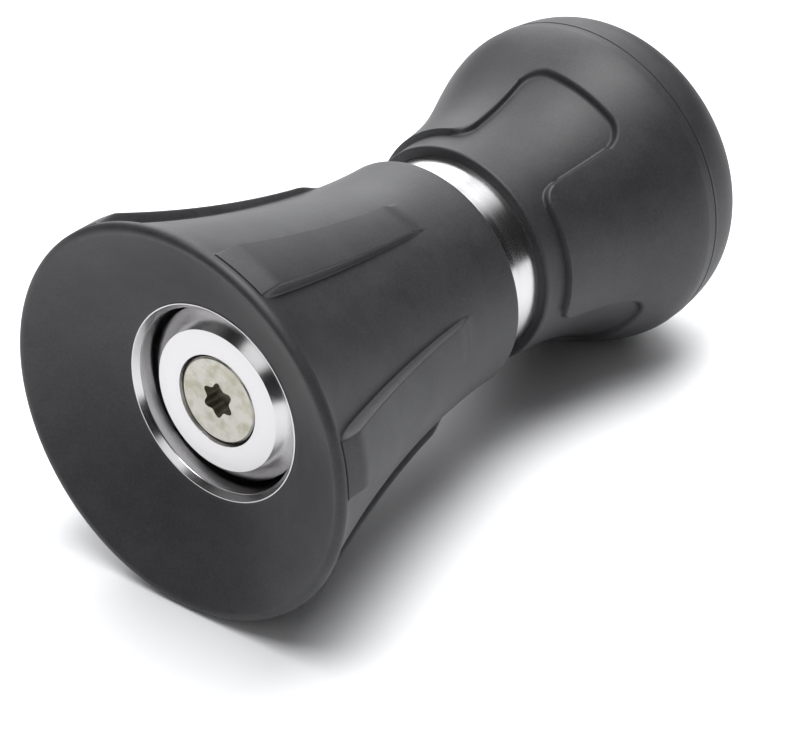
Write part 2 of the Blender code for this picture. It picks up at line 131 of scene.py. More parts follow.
THREAD_STARTS = 3
THREAD_PITCH = 4.0
THREAD_DEPTH = 1.1
HOSE_THREAD_PITCH = 25.4 / 11.5
HOSE_THREAD_ROOT = 13.5
HOSE_THREAD_DEPTH = 1.15
TAIL_RADIUS = 11.6
TAIL_BORE = 8.5
SCREW_RADIUS = 4.0
SOCKET_LOBES = 6
SOCKET_TURN = 30.0

ROUND_STEPS = 240

# Soft light panels in the studio's dome: direction, inner and outer half angle in degrees, brightness
ROOM_LEVEL = 0.025
PANELS = (
    ((0.06, 0.22, 0.97), 0.0, 22.0, 9.6),
    ((0.06, -0.22, 0.97), 0.0, 22.0, 8.8),
    ((-0.50, 0.1, 0.8), 5.0, 30.0, 1.5),
    ((-0.60, 0.62, 0.46), 12.0, 30.0, 3.6),
    ((0.00, 0.70, 0.71), 8.0, 26.0, 1.1),
    ((0.24, -0.73, 0.63), 12.0, 20.0, 1.3),
    ((-0.85, -0.5, 0.25), 10.0, 40.0, 0.2),
)


# Outlines

def rounded(corners, closed=True, arc_steps=5):
    """Points along (radius, station, fillet) corners, each fillet drawn as an arc."""
    points = []
    count = len(corners)
    for k, (radius, station, fillet) in enumerate(corners):
        here = Vector((radius, station))
        if fillet == 0.0 or (not closed and k in (0, count - 1)):
            points.append((radius, station))
            continue
        before = Vector(corners[k - 1][:2]) - here
        after = Vector(corners[(k + 1) % count][:2]) - here
        half = before.angle(after) / 2
        reach = min(fillet / math.tan(half), 0.49 * before.length, 0.49 * after.length)
        size = reach * math.tan(half)
        middle = here + (before.normalized() + after.normalized()).normalized() * (size / math.sin(half))
        first = here + before.normalized() * reach - middle
        last = here + after.normalized() * reach - middle
        for step in range(arc_steps + 1):
            spoke = first.lerp(last, step / arc_steps).normalized() * size
            points.append(tuple(middle + spoke))
    return points


def arc(middle, size, first, last, steps):
    """Points on an arc; angles in degrees from the radial direction towards the rear."""
    angles = np.radians(np.linspace(first, last, steps))
    return [(middle[0] + size * math.cos(a), middle[1] + size * math.sin(a)) for a in angles]


def ring_outline(inner, outer_radius, first, last, fillet):
    """Section of a flat ring with eased edges."""
    corners = ((inner, first), (outer_radius, first), (outer_radius, last), (inner, last))
    return rounded([(radius, station, fillet) for radius, station in corners])


def smooth(t):
    t = np.clip(t, 0.0, 1.0)
    return t * t * (3.0 - 2.0 * t)


def soft_min(a, b, reach):
    """The smaller of a and b, rounded off where they are within reach of each other."""
    near = np.maximum(reach - np.abs(a - b), 0.0) / reach
    return np.minimum(a, b) - near * near * reach / 4


def soft_ramp(t, reach=0.16):
    """0 to 1 along a straight ramp with a rounded foot and crest."""
    return -soft_min(-soft_min(t, 1.0, reach), 0.0, reach)


def nearest(degrees, centre, count):
    """Signed angle from the nearest of count evenly spaced centres."""
    pitch = 360.0 / count
    return (degrees - centre + pitch / 2) % pitch - pitch / 2


# Making meshes

def turned(name, outline, angles=None, shape=None, sharp=None):
    """A closed piece turned about the Y axis.

    An outline that starts and ends on the axis is a solid piece; any other is the closed section of a
    ring. shape(angle, radius, station) may move the points, and an angles array that stops short of a
    full turn gives a split ring with flat ends.
    """
    whole = angles is None or np.ptp(angles) > math.radians(350.0)
    if angles is None:
        angles = np.radians(np.arange(ROUND_STEPS) * 360.0 / ROUND_STEPS)
    radius, station = np.array(outline, float).T
    solid = radius[0] == 0.0 and radius[-1] == 0.0
    angle = angles[:, None]
    radius, station = np.broadcast_arrays(radius[None, :], station[None, :], angle)[:2]
    if shape:
        radius, station, *turn = shape(np.broadcast_to(angle, radius.shape), radius, station)
        angle = turn[0] if turn else angle
    co = np.stack([radius * np.cos(angle), station + RIM_Y / MM, radius * np.sin(angle)], axis=-1) * MM
    turns, points = radius.shape
    index = np.arange(turns * points).reshape(turns, points)
    if solid:
        index[:, 0] = index[0, 0]
        index[:, -1] = index[0, -1]
    here = index if whole else index[:-1]
    there = np.roll(index, -1, axis=0) if whole else index[1:]
    if not solid:
        here = np.hstack([here, here[:, :1]])
        there = np.hstack([there, there[:, :1]])
    quads = np.stack([here[:, :-1], here[:, 1:], there[:, 1:], there[:, :-1]], axis=-1).reshape(-1, 4)
    faces = [list(dict.fromkeys(quad)) for quad in quads.tolist()]
    if not whole:
        faces += [index[0].tolist(), index[-1].tolist()]
    mesh = bpy.data.meshes.new(name)
    mesh.from_pydata(co.reshape(-1, 3).tolist(), [], faces)
    bm = bmesh.new()
    bm.from_mesh(mesh)
    loose = [v for v in bm.verts if not v.link_faces]
    bmesh.ops.delete(bm, geom=loose, context="VERTS")
    bmesh.ops.recalc_face_normals(bm, faces=bm.faces)
    bm.to_mesh(mesh)
    bm.free()
    mesh.shade_smooth()
    if sharp:
        mesh.set_sharp_from_angle(angle=math.radians(sharp))
    piece = bpy.data.objects.new(name, mesh)
    bpy.context.scene.collection.objects.link(piece)
    return piece


def cut_out(piece, cutter, name):
    """Take the cutter's shapes out of a piece and settle the result as the piece's mesh."""
    mesh = bpy.data.meshes.new(name)
    cutter.to_mesh(mesh)
    cutter.free()
    tool = bpy.data.objects.new(name, mesh)
    bpy.context.scene.collection.objects.link(tool)
    cut = piece.modifiers.new(name, "BOOLEAN")
    cut.operation = "DIFFERENCE"
    cut.solver = "EXACT"
    cut.object = tool
    settled = bpy.data.meshes.new_from_object(piece.evaluated_get(bpy.context.evaluated_depsgraph_get()))
    piece.modifiers.clear()
    piece.data = settled
    piece.data.set_sharp_from_angle(angle=math.radians(40.0))
    bpy.data.objects.remove(tool)
    return piece


def install(piece, node, body, finish):
    """Put a piece in the place of a CAD node, on its body, with its material."""
    piece.data.materials.append(finish)
    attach(piece, body)
    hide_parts(node)
    return piece


def threaded(first, last, root, depth, pitch, starts):
    """A shape rule that raises a right-hand thread on the root radius; a negative depth points inwards."""
    run_out = pitch / 3

    def shape(angle, radius, station):
        on_thread = (radius == root) & (station >= first) & (station <= last)
        fade = smooth(np.minimum(station - first, last - station) / run_out)
        wave = math.copysign(1.0, depth) * np.cos(2 * math.pi * station / pitch + starts * angle)
        flank = 0.5 + 0.5 * np.clip(1.45 * wave, -1.0, 1.0)
        return np.where(on_thread, root + depth * fade * flank, radius), station

    return shape


def thread_rows(first, last, root, spacing=0.16):
    count = round((last - first) / spacing)
    return [(root, station) for station in np.linspace(first, last, count + 1)]


# The ribbed sleeve

def bell_radius(station):
    """Outside of the sleeve between its ribs, with a slight extra flare at the rim."""
    t = np.clip(1.0 - station / SLEEVE_BACK, 0.0, 1.0)
    flare = 0.45 * np.clip((8.0 - station) / 6.2, 0.0, 1.2) ** 3
    return SLEEVE_WAIST + (RIM_RADIUS - SLEEVE_WAIST) * t ** BELL_POWER + flare


def rib_rise(angle, radius, station):
    """Lift the sleeve's outside where a rib stands on it; a rib thins to the rear."""
    offset = np.abs(nearest(np.degrees(angle), RIB_CENTRE, RIB_COUNT))
    across = soft_ramp((RIB_HALF_BASE - offset) / (RIB_HALF_BASE - RIB_HALF_TOP), 0.3)
    fall = soft_ramp((RIB_BACK[1] - station) / (RIB_BACK[1] - RIB_BACK[0]), 0.5)
    height = RIB_FRONT_HEIGHT + (RIB_BACK_HEIGHT - RIB_FRONT_HEIGHT) * station / RIB_BACK[0]
    top = soft_min(radius + height * fall, np.maximum(RIB_CAP_RADIUS, radius), 0.25)
    outside = (radius >= bell_radius(station) - 0.001) & (station > RIM_END)
    return radius + np.where(outside, np.maximum(top - radius, 0.0) * across, 0.0), station


def rib_angles():
    """Fine steps over each rib's edges and coarser ones between."""
    edge = np.arange(RIB_HALF_TOP - 0.7, RIB_HALF_BASE + 0.7, 0.1)
    crown = np.arange(-RIB_HALF_TOP + 1.3, RIB_HALF_TOP - 0.7, 1.0)
    pitch = 360.0 / RIB_COUNT
    valley = np.linspace(edge[-1] + 1.0, pitch - edge[-1] - 1.0, 28)
    sector = np.sort(np.concatenate([-edge, crown, edge, valley]))
    turns = [RIB_CENTRE + pitch * rib + sector for rib in range(RIB_COUNT)]
    return np.radians(np.concatenate(turns))


def bell_sleeve():
    """Rubber bell with a funnel mouth, a rounded rim and six ribs."""
    rise = bell_radius(RIM_END) - bell_radius(RIM_END + 0.1)
    tilt = math.atan2(rise, 0.1)
    middle = (bell_radius(RIM_END) - RIM_ROUND * math.cos(tilt), RIM_ROUND)
    rim_station = middle[1] + RIM_ROUND * math.sin(tilt)
    funnel_tilt = 33.0
    rim = arc(middle, RIM_ROUND, -90.0 - funnel_tilt, math.degrees(tilt), 14)
    inner = MOUTH_RADIUS + 0.05
    mouth_station = MOUTH + 0.12
    share = np.linspace(0.0, 1.0, 26)[:-1]
    radii = inner + (rim[0][0] - inner) * share
    stations = rim[0][1] + (mouth_station - rim[0][1]) * (1.0 - share ** 1.12)
    funnel = list(zip(radii, stations))
    rows = [
        np.arange(rim_station + 0.12, 5.2, 0.12),
        np.arange(5.6, 44.0, 0.9),
        np.arange(44.2, 49.2, 0.2),
        np.arange(50.0, SLEEVE_BACK - 1.2, 0.8),
    ]
    outside = [(bell_radius(s), s) for s in np.concatenate(rows)]
    end_radius = bell_radius(SLEEVE_BACK - 1.0)
    opening = NECK_RADIUS + NECK_EASE
    fit = BARREL_RADIUS + 0.1
    end = rounded([
        (*outside[-1], 0.0), (end_radius, SLEEVE_BACK, 0.6), (opening, SLEEVE_BACK, 0.2),
        (opening, BARREL_BACK + FIT, 0.0),
    ], closed=False)[1:]
    flange = (FLANGE[0] - FIT, FLANGE[1] + FIT)
    pocket = [
        (fit, BARREL_BACK + FIT), (fit, flange[1]), (FLANGE_RADIUS + FIT, flange[1]),
        (FLANGE_RADIUS + FIT, flange[0]), (fit, flange[0]), (fit, 12.5), (inner, 10.7),
    ]
    outline = funnel + rim + outside + end + pocket
    return turned("bell_sleeve", outline, rib_angles(), rib_rise, sharp=50.0)


# The barrel

def barrel_tube():
    """Turned barrel with its bevelled mouth lip, seat, throat, seal bore and inside thread."""
    seat = 15.0
    thread = (42.6, 50.2)
    thread_root = 17.5
    lip = rounded([
        (MOUTH_RADIUS, 10.6, 0.0), (MOUTH_RADIUS, MOUTH, 0.12), (MOUTH_RADIUS - 0.25, MOUTH, 0.08),
        (MOUTH_BORE + 0.1, MOUTH + 1.0, 0.5), (MOUTH_BORE, seat, 0.2),
        (BORE_RADIUS, seat + MOUTH_BORE - BORE_RADIUS, 0.3), (BORE_RADIUS, 22.4, 0.2), (15.5, 23.0, 0.2),
        (15.5, 35.6, 0.3), (thread_root, 36.4, 0.2), (thread_root, 42.2, 0.0),
    ], closed=False)
    bore = NECK_RADIUS + NECK_EASE
    groove = WIPER_RADIUS + 0.2
    rear = rounded([
        (thread_root, thread[1] + 0.1, 0.0), (bore, 50.6, 0.1), (bore, 59.0, 0.1), (groove, 59.0, 0.1),
        (groove, 60.8, 0.1), (bore, 60.8, 0.1), (bore, BARREL_BACK, 0.2), (BARREL_RADIUS, BARREL_BACK, 0.2),
        (BARREL_RADIUS, FLANGE[1], 0.1), (FLANGE_RADIUS, FLANGE[1], 0.2), (FLANGE_RADIUS, FLANGE[0], 0.2),
        (BARREL_RADIUS, FLANGE[0], 0.1),
        (BARREL_RADIUS, 12.5, 0.2), (MOUTH_RADIUS, 10.65, 0.0),
    ], closed=False)
    outline = lip + thread_rows(*thread, thread_root, 0.25) + rear
    rule = threaded(*thread, thread_root, -THREAD_DEPTH, THREAD_PITCH, THREAD_STARTS)
    return turned("barrel_tube", outline, shape=rule, sharp=40.0)


def spray_disc():
    """Flat-faced disc with a conical edge, a countersink, a boss and a seal groove."""
    edge = DISC_RADIUS + 0.25
    recess = HEAD_RADIUS + 0.4
    recess_depth = 0.45
    hole = SCREW_RADIUS + 0.4
    corners = [
        (recess, DISC_FACE + recess_depth, 0.0), (recess, DISC_FACE, 0.08), (12.6, DISC_FACE, 0.1),
        (edge, DISC_FACE + edge - 12.6, 0.12),
        (edge, 14.4, 0.15), (12.0, 14.4, 0.1), (12.0, 17.3, 0.1), (12.8, 17.3, 0.1), (12.8, 17.9, 0.1),
        (6.8, 19.7, 0.3), (hole, 19.7, 0.1), (hole, DISC_FACE + recess_depth + recess - hole, 0.0),
    ]
    return turned("spray_disc", rounded(corners))


def socket_star(angle, radius, station):
    """Pull the socket's wall points, at a radius of 1, out to the six-lobe outline."""
    wave = 0.5 + 0.5 * np.cos(SOCKET_LOBES * (angle - math.radians(SOCKET_TURN)))
    star = 2.38 + 0.85 * wave ** 1.1
    taper = 0.12 * np.clip((station - SCREW_FACE) / 3.0, 0.0, 1.0)
    return np.where(radius == 1.0, star - taper, radius), station


def disc_screw():
    """Countersunk screw: bevelled head edge, six-lobe socket, plain shank."""
    edge = 0.35
    floor = SCREW_FACE + 3.0
    socket = [(0.0, floor + 0.4), (1.0, floor), (1.0, SCREW_FACE + 1.0), (1.0, SCREW_FACE)]
    tip = back("baffle_screw")
    head = rounded([
        (3.6, SCREW_FACE, 0.0), (HEAD_RADIUS - edge, SCREW_FACE, 0.12),
        (HEAD_RADIUS, SCREW_FACE + edge, 0.12),
        (SCREW_RADIUS, SCREW_FACE + edge + HEAD_RADIUS - SCREW_RADIUS, 0.3),
        (SCREW_RADIUS, tip - 0.6, 0.1), (SCREW_RADIUS - 0.6, tip, 0.0), (0.0, tip, 0.0),
    ], closed=False)
    return turned("disc_screw", socket + head, shape=socket_star, sharp=40.0)


# The body and the bulb grip

def body_tube():
    """Body with its nose, outside thread, bright neck, nut cup, tail and waterway."""
    thread = (44.0, 58.4)
    thread_root = 15.9
    nose_front = 31.4
    nose_radius = 15.2
    nose = rounded([
        (BORE_RADIUS, 40.0, 0.0), (BORE_RADIUS, nose_front, 0.2), (nose_radius - 0.5, nose_front, 0.2),
        (nose_radius, nose_front + 0.6, 0.2), (nose_radius, 33.1, 0.1), (13.7, 33.1, 0.1), (13.7, 35.1, 0.1),
        (nose_radius, 35.1, 0.1), (nose_radius, 43.5, 0.2), (thread_root, 43.8, 0.0),
    ], closed=False)
    grip_seat = rounded([
        (thread_root, 58.5, 0.0), (NECK_RADIUS, 58.8, 0.15), (NECK_RADIUS, 86.0, 1.0), (21.0, 92.0, 1.0),
        (21.0, 106.0, 0.2), (17.4, 106.0, 0.2), (17.4, 100.0, 0.3), (TAIL_RADIUS, 100.0, 0.3),
        (TAIL_RADIUS, 104.6, 0.05), (10.9, 104.6, 0.05), (10.9, 105.9, 0.05), (TAIL_RADIUS, 105.9, 0.05),
        (TAIL_RADIUS, 107.7, 0.15), (9.7, 107.7, 0.1), (9.7, 105.9, 0.05), (TAIL_BORE, 105.9, 0.1),
        (TAIL_BORE, 93.0, 1.5), (11.5, 89.0, 1.5), (11.5, 60.0, 0.1), (BORE_RADIUS, 60.0, 0.1),
        (BORE_RADIUS, 54.4, 0.05), (13.4, 54.4, 0.05), (13.4, 53.2, 0.05), (BORE_RADIUS, 53.2, 0.05),
        (BORE_RADIUS, 45.0, 0.0),
    ], closed=False)
    outline = nose + thread_rows(*thread, thread_root, 0.25) + grip_seat
    rule = threaded(*thread, thread_root, THREAD_DEPTH, THREAD_PITCH, THREAD_STARTS)
    return turned("body_tube", outline, shape=rule, sharp=40.0)


def bulb_radius(station):
    """Raised outside of the bulb: a waist that swells smoothly to its widest, then rounds off."""
    waist = 21.1
    widest = 29.65
    swell = (72.0, 105.5)
    t = np.clip((station - swell[0]) / (swell[1] - swell[0]), 0.0, 1.0)
    rear = np.clip((station - swell[1]) / (LENGTH - swell[1]), 0.0, 1.0)
    return waist + (widest - waist) * (0.29 * t + 0.71 * smooth(t ** 1.7)) - 0.9 * rear - 6.4 * rear ** 4


def recess_edge(across, station):
    """Distance to the edge of the waist band and its arches: below 0 on their floor, above 0 on the lobes.

    across is the distance round the grip, measured at the radius halfway along the arches.
    """
    middle = bulb_radius((BAND_BACK + ARCH_BACK) / 2)
    offset = np.abs(nearest(np.degrees(across / middle), ARCH_CENTRE, ARCH_COUNT))
    side = np.radians(offset - ARCH_HALF_ANGLE) * middle + RECESS_CORNER
    end = station - ARCH_BACK + RECESS_CORNER
    beyond = np.hypot(np.maximum(side, 0.0), np.maximum(end, 0.0))
    arch = beyond + np.minimum(np.maximum(side, end), 0.0) - RECESS_CORNER
    return soft_min(arch, station - BAND_BACK, RECESS_CORNER)


def grip_recess(angle, radius, station):
    """Sink the recesses, and draw the mesh lines near their edge together so that the step stays crisp."""
    middle = bulb_radius((BAND_BACK + ARCH_BACK) / 2)
    outside = (radius >= bulb_radius(station) - 0.001) & (station > GRIP_FRONT + 0.4)
    across = angle * middle
    reach = 1.3
    probe = 0.05
    edge = recess_edge(across, station)
    slope_across = (recess_edge(across + probe, station) - recess_edge(across - probe, station)) / (2 * probe)
    slope_along = (recess_edge(across, station + probe) - recess_edge(across, station - probe)) / (2 * probe)
    drawn = np.sign(edge) * reach * (np.minimum(np.abs(edge), reach) / reach) ** 2.1
    shift = np.where(outside & (np.abs(edge) < reach), drawn - edge, 0.0)
    angle = angle + shift * slope_across / middle
    station = station + shift * slope_along
    share = smooth(0.5 - recess_edge(angle * middle, station) / RECESS_STEP)
    radius = np.where(outside, bulb_radius(station) - RECESS_DEPTH * share, radius)
    return radius, station, angle


def bulb_grip():
    """Rubber bulb with a front lip, a waist band and three arched finger recesses."""
    first = GRIP_FRONT + 1.2
    floor = bulb_radius(first) - RECESS_DEPTH
    opening = NECK_RADIUS + 0.03
    lip = rounded([
        (opening, 86.0, 0.0), (opening, GRIP_FRONT, 0.08), (floor, GRIP_FRONT, 0.6), (floor, first, 0.0),
    ], closed=False)[:-1]
    rows = np.arange(first, SEAM - 0.3, 0.28)
    outside = [(bulb_radius(s), s) for s in rows]
    end = arc((bulb_radius(SEAM) - 0.12, SEAM - 0.12), 0.12, 0.0, 90.0, 4)
    inside = [(21.2, SEAM), (21.2, 92.0), (opening, 86.2)]
    angles = np.radians(np.arange(0.0, 360.0, 0.6))
    return turned("bulb_grip", lip + outside + end + inside, angles, grip_recess, sharp=50.0)


# The hose coupling

def collar_ring():
    """Rubber ring behind the seam that closes the bulb."""
    first = SEAM + SEAM_GAP
    inner = 17.1
    edge = arc((bulb_radius(first) - 0.1, first + 0.15), 0.15, -90.0, 0.0, 5)
    sweep = np.sin(np.linspace(0.0, math.pi / 2, 44))
    stations = first + 0.4 + (LENGTH - first - 0.4) * sweep
    outside = [(bulb_radius(s), s) for s in stations]
    rear = rounded([
        (*outside[-1], 0.0), (18.6, LENGTH, 0.0), (18.0, LENGTH, 0.3), (inner, LENGTH - 0.8, 0.0),
    ], closed=False)[1:]
    return turned("collar_ring", [(inner, first)] + edge + outside + rear, sharp=50.0)


def coupling_nut():
    """Nut with the female hose thread; its inner flange runs on the body's tail."""
    thread = (111.2, 119.0)
    flange = rounded([
        (HOSE_THREAD_ROOT, 119.1, 0.0), (14.1, LENGTH, 0.15), (16.7, LENGTH, 0.2), (17.0, LENGTH - 0.4, 0.2),
        (17.0, 100.3, 0.4), (11.9, 100.3, 0.3), (11.9, 103.0, 0.2), (14.0, 103.0, 0.2), (14.0, 110.8, 0.2),
        (HOSE_THREAD_ROOT, 111.1, 0.0),
    ], closed=False)
    outline = flange + thread_rows(*thread, HOSE_THREAD_ROOT, 0.11)
    rule = threaded(*thread, HOSE_THREAD_ROOT, -HOSE_THREAD_DEPTH, HOSE_THREAD_PITCH, 1)
    return turned("coupling_nut", outline, shape=rule, sharp=40.0)


def screen_plate():
    """Perforated disc in the tail, cut by a pattern of round holes."""
    first = front("inlet_screen")
    last = back("inlet_screen")
    plate = turned("screen_plate", rounded([
        (0.0, first, 0.0), (9.4, first, 0.15), (9.4, last, 0.15), (8.0, last, 0.1), (7.7, last - 0.4, 0.1),
        (0.0, last - 0.4, 0.0),
    ], closed=False))
    cutter = bmesh.new()
    hole = 0.62
    spacing = 1.75
    rows = 4
    field = 7.0
    for row in range(-rows, rows + 1):
        for column in range(-rows, rows + 1):
            x = (column + row / 2) * spacing
            z = row * spacing * math.sqrt(3) / 2
            if math.hypot(x, z) > field:
                continue
            place = Matrix.Translation((x * MM, ((first + last) / 2 + RIM_Y / MM) * MM, z * MM))
            bmesh.ops.create_cone(
                cutter, cap_ends=True, segments=20, radius1=hole * MM, radius2=hole * MM, depth=4 * MM,
                matrix=place @ Matrix.Rotation(math.radians(90.0), 4, "X"),
            )
    return cut_out(plate, cutter, "screen_holes")


# The pieces inside

def o_ring(name, radius, station, section):
    return turned(name, arc((radius, station), section, 0.0, 345.0, 24))


def flat_ring(name, node, inner, fillet):
    """Washer as wide and as thick as its CAD node."""
    return turned(name, ring_outline(inner, outer(node), front(node), back(node), fillet))


def split_ring(name, inner, outer_radius, first, last, opening):
    """Retaining ring with a gap between its ends."""
    angles = np.radians(np.linspace(opening / 2, 360.0 - opening / 2, 120))
    return turned(name, ring_outline(inner, outer_radius, first, last, 0.08), angles, sharp=40.0)


def stem_rod():
    """Rod with a blind hole for the disc's screw, a shoulder and a thin rear end for the nut."""
    first = front("baffle_stem")
    last = back("baffle_stem")
    hole = SCREW_RADIUS + 0.3
    rod = 6.0
    shoulder = 54.7
    outline = rounded([
        (0.0, 37.0, 0.0), (hole, 35.4, 0.1), (hole, first, 0.2), (rod, first, 0.3), (rod, shoulder, 0.2),
        (SCREW_RADIUS, shoulder, 0.1), (SCREW_RADIUS, last - 0.6, 0.1), (SCREW_RADIUS - 0.6, last, 0.1),
        (0.0, last, 0.0),
    ], closed=False)
    return turned("stem_rod", outline, sharp=40.0)


def hex_nut():
    """Hexagon nut with chamfered corners."""
    first = front("stem_nut")
    last = back("stem_nut")
    half_flats = 6.5

    def hexagon(angle, radius, station):
        turn = np.radians(nearest(np.degrees(angle), 0.0, 6))
        corner = half_flats / np.cos(turn)
        chamfer = np.minimum(station - first, last - station) * 1.7 + half_flats
        return np.where(radius >= half_flats, np.minimum(corner, chamfer), radius), station

    depths = np.linspace(0.0, 0.8, 6)
    rows = [(half_flats, first + d) for d in depths] + [(half_flats, last - d) for d in depths[::-1]]
    return turned("hex_nut", [(4.3, first)] + rows + [(4.3, last)], shape=hexagon, sharp=30.0)


def spider_ring():
    """Rim and hub joined by three streamlined legs."""
    first = front("stem_spider")
    last = back("stem_spider")
    plate = turned("spider_ring", ring_outline(4.2, 12.2, first, last, 0.25))
    cutter = bmesh.new()
    legs = 3
    half_leg = 12.0
    window = (7.6, 10.3)
    for leg in range(legs):
        pitch = 360.0 / legs
        angles = np.radians(np.linspace(pitch * leg + half_leg, pitch * (leg + 1) - half_leg, 25))
        outline = [(window[1] * math.cos(a), window[1] * math.sin(a)) for a in angles]
        outline += [(window[0] * math.cos(a), window[0] * math.sin(a)) for a in angles[::-1]]
        low = [cutter.verts.new((x * MM, (first - 1.0) * MM + RIM_Y, z * MM)) for x, z in outline]
        high = [cutter.verts.new((x * MM, (last + 1.0) * MM + RIM_Y, z * MM)) for x, z in outline]
        cutter.faces.new(low)
        cutter.faces.new(high)
        for k, vert in enumerate(low):
            n = (k + 1) % len(low)
            cutter.faces.new((vert, low[n], high[n], high[k]))
    bmesh.ops.recalc_face_normals(cutter, faces=cutter.faces)
    return cut_out(plate, cutter, "spider_windows")


# Materials

def node_adder(tree):
    """A helper that adds a node to a tree, with its inputs and properties set."""
    def add(kind, inputs=None, **properties):
        node = tree.nodes.new(kind)
        for key, value in properties.items():
            setattr(node, key, value)
        for key, value in (inputs or {}).items():
            if isinstance(value, bpy.types.NodeSocket):
                tree.links.new(value, node.inputs[key])
            else:
                node.inputs[key].default_value = value
        return node

    return add


def new_material(name):
    """A node material, its tree and shader, and a helper that adds nodes."""
    finish = bpy.data.materials.new(name)
    finish.use_nodes = True
    tree = finish.node_tree
    return finish, tree, tree.nodes["Principled BSDF"], node_adder(tree)


def mix_colour(add, factor, low, high):
    """Colour between two others; each is an RGB tuple or another node's output."""
    ends = [(*end, 1.0) if isinstance(end, tuple) else end for end in (low, high)]
    return add("ShaderNodeMix", {0: factor, 6: ends[0], 7: ends[1]}, data_type="RGBA").outputs[2]


def remap(add, value, source, target):
    """Map a value's range onto another, and clamp it there."""
    return add("ShaderNodeMapRange", {
        "Value": value, "From Min": source[0], "From Max": source[1],
        "To Min": target[0], "To Max": target[1],
    }).outputs["Result"]


def moulded_rubber(name, colour, dusty, roughness):
    """Matte moulded rubber: mottled and finely grained, lighter on worn edges, with painted shade that
    darkens and dulls its inside corners.
    """
    finish, tree, shader, add = new_material(name)
    place = add("ShaderNodeTexCoord").outputs["Object"]
    mottle = add("ShaderNodeTexNoise", {"Vector": place, "Scale": 190.0, "Detail": 5.0, "Roughness": 0.62})
    grain = add("ShaderNodeTexNoise", {"Vector": place, "Scale": 2300.0, "Detail": 2.0})
    cloud = add("ShaderNodeTexNoise", {"Vector": place, "Scale": 45.0, "Detail": 3.0})
    relief = add(
        "ShaderNodeMath", {0: grain.outputs["Fac"], 1: mottle.outputs["Fac"]}, operation="ADD",
    ).outputs["Value"]
    base = mix_colour(add, remap(add, relief, (0.78, 1.22), (0.0, 1.0)), colour, dusty)
    edge = add("ShaderNodeNewGeometry").outputs["Pointiness"]
    worn = tuple(2.2 * c for c in dusty)
    base = mix_colour(add, remap(add, edge, (0.52, 0.57), (0.0, 0.16)), base, worn)
    # Painted shade: ambient occlusion within this piece darkens the base colour and weakens the reflections
    # at inside corners, rib walls and recess steps.
    corner = add("ShaderNodeAmbientOcclusion", {"Distance": 0.0019}, samples=8, only_local=True).outputs["AO"]
    painted_shade = remap(add, corner, (0.5, 0.88), (0.85, 0.0))
    tree.links.new(mix_colour(add, painted_shade, base, tuple(0.3 * c for c in colour)), shader.inputs["Base Color"])
    tree.links.new(remap(add, painted_shade, (0.0, 0.8), (0.5, 0.08)), shader.inputs["Specular IOR Level"])
    gloss = remap(add, cloud.outputs["Fac"], (0.3, 0.7), (roughness - 0.05, roughness + 0.05))
    tree.links.new(gloss, shader.inputs["Roughness"])
    bump = add("ShaderNodeBump", {"Height": relief, "Strength": 0.25, "Distance": 0.00006})
    tree.links.new(bump.outputs["Normal"], shader.inputs["Normal"])
    return finish


def lathe_metal(name, colour, roughness, marks, anisotropy=0.5, stain=0.0):
    """Metal with fine turning marks that run round the axis, soft stains, and painted shade that darkens and
    dulls its narrow gaps.
    """
    finish, tree, shader, add = new_material(name)
    place = add("ShaderNodeTexCoord").outputs["Object"]
    axes = add("ShaderNodeSeparateXYZ", {"Vector": place})
    flat = add("ShaderNodeCombineXYZ", {"X": axes.outputs["X"], "Z": axes.outputs["Z"]})
    radius = add("ShaderNodeVectorMath", {0: flat.outputs["Vector"]}, operation="LENGTH")
    section = add("ShaderNodeCombineXYZ", {"X": radius.outputs["Value"], "Y": axes.outputs["Y"]})
    groove = add("ShaderNodeTexNoise", {"Vector": section.outputs["Vector"], "Scale": 5200.0, "Detail": 3.0})
    broad = add("ShaderNodeTexNoise", {"Vector": section.outputs["Vector"], "Scale": 900.0, "Detail": 2.0})
    smudge = add("ShaderNodeTexNoise", {"Vector": place, "Scale": 420.0, "Detail": 4.0, "Roughness": 0.6})
    tone = remap(add, smudge.outputs["Fac"], (0.42, 0.66), (0.0, stain))
    tinted = (colour[0] * 0.66, colour[1] * 0.66, colour[2] * 0.52)
    base = mix_colour(add, tone, colour, tinted)
    # Painted shade: ambient occlusion from all pieces turns the colour dark brown-grey and takes away the
    # metal's shine in narrow gaps and corners, such as round the screw head.
    corner = add("ShaderNodeAmbientOcclusion", {"Distance": 0.0008}, samples=8).outputs["AO"]
    painted_shade = remap(add, corner, (0.2, 0.62), (1.0, 0.0))
    tree.links.new(mix_colour(add, painted_shade, base, (0.11, 0.1, 0.085)), shader.inputs["Base Color"])
    tree.links.new(remap(add, painted_shade, (0.0, 1.0), (1.0, 0.3)), shader.inputs["Metallic"])
    gloss = remap(add, broad.outputs["Fac"], (0.3, 0.7), (roughness * 0.85, roughness * 1.2))
    tree.links.new(gloss, shader.inputs["Roughness"])
    bump = add("ShaderNodeBump", {"Height": groove.outputs["Fac"], "Strength": marks, "Distance": 0.00002})
    tree.links.new(bump.outputs["Normal"], shader.inputs["Normal"])
    tangent = add("ShaderNodeTangent", direction_type="RADIAL", axis="Y")
    tree.links.new(tangent.outputs["Tangent"], shader.inputs["Tangent"])
    shader.inputs["Anisotropic"].default_value = anisotropy
    shader.inputs["Anisotropic Rotation"].default_value = 0.25
    return finish


